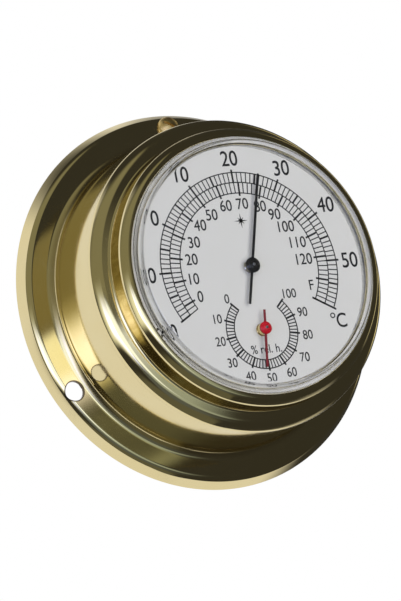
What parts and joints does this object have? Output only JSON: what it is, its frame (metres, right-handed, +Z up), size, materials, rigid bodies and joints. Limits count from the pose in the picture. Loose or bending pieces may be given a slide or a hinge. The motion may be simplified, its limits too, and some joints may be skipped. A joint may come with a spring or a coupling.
{
  "type": "ship's thermometer and hygrometer",
  "caption": "Round brass wall instrument: flanged case, bezel and raised crystal over a dial with a thermometer pointer and a small hygrometer pointer, each on a coil.",
  "frame": {"origin": "centre of the wall plane, on the drum's axis", "axes": "+X right and +Z up seen from the front; the dial faces -Y and the wall is at +Y"},
  "size_m": [0.127, 0.0481, 0.127],
  "materials": {
    "polished_brass": "mirror polished",
    "screw_brass": "polished",
    "crystal_clear": "clear, polished",
    "gasket_rubber": "matte",
    "dial_white": "satin",
    "housing_black": "fine texture",
    "cover_black": "fine texture",
    "screw_steel": "turned",
    "bridge_brass": "stamped",
    "nut_brass": "turned",
    "bush_brass": "turned",
    "calibrator_brass": "turned",
    "spring_steel": "spring temper",
    "bimetal_steel": "rolled strip",
    "hygro_strip": "coated strip",
    "arbor_steel": "ground",
    "pointer_black": "satin",
    "pointer_red": "satin",
    "cap_black": "gloss",
    "cap_red": "gloss"
  },
  "bodies": {
    "case": {"case_shell": "polished_brass", "mounting_screw": "screw_brass", "bezel_ring": "polished_brass", "crystal": "crystal_clear", "crystal_gasket": "gasket_rubber", "dial_plate": "dial_white", "inner_housing": "housing_black", "back_cover": "cover_black", "back_cover_screws": "screw_steel", "thermo_bridge": "bridge_brass", "thermo_bridge_nuts": "nut_brass", "thermo_front_bush": "bush_brass", "hygro_bridge": "bridge_brass", "hygro_bridge_nuts": "nut_brass", "hygro_front_bush": "bush_brass"},
    "thermo_calibration": {"thermo_calibrator": "calibrator_brass", "thermo_calibrator_clip": "spring_steel", "thermo_coil_post": "calibrator_brass", "thermo_coil": "bimetal_steel"},
    "thermo_movement": {"thermo_coil_collet": "bush_brass", "thermo_arbor": "arbor_steel", "thermo_pointer_tube": "bush_brass", "thermo_pointer": "pointer_black", "thermo_hub_cap": "cap_black"},
    "hygro_calibration": {"hygro_calibrator": "calibrator_brass", "hygro_calibrator_clip": "spring_steel", "hygro_coil_post": "calibrator_brass", "hygro_coil": "hygro_strip"},
    "hygro_movement": {"hygro_coil_collet": "bush_brass", "hygro_arbor": "arbor_steel", "hygro_pointer_tube": "bush_brass", "hygro_pointer": "pointer_red", "hygro_hub_cap": "cap_red"}
  },
  "joints": [
    {"name": "thermo_calibration_turn", "type": "hinge", "parent": "case", "child": "thermo_calibration", "pos_m": [0, -0.0245, 0], "axis": [0, 1, 0], "range_deg": [-15, 15]},
    {"name": "thermo_pointer_turn", "type": "hinge", "parent": "thermo_calibration", "child": "thermo_movement", "pos_m": [0, -0.0327, 0], "axis": [0, 1, 0], "range_deg": [-135.6, 104.4], "stiffness_Nm_per_rad": 0.002, "deforming": ["thermo_coil"]},
    {"name": "hygro_calibration_turn", "type": "hinge", "parent": "case", "child": "hygro_calibration", "pos_m": [0, -0.0245, -0.0209], "axis": [0, -1, 0], "range_deg": [-15, 15]},
    {"name": "hygro_pointer_turn", "type": "hinge", "parent": "hygro_calibration", "child": "hygro_movement", "pos_m": [0, -0.0327, -0.0209], "axis": [0, -1, 0], "range_deg": [-126.36, 143.64], "stiffness_Nm_per_rad": 0.0002, "deforming": ["hygro_coil"]}
  ]
}
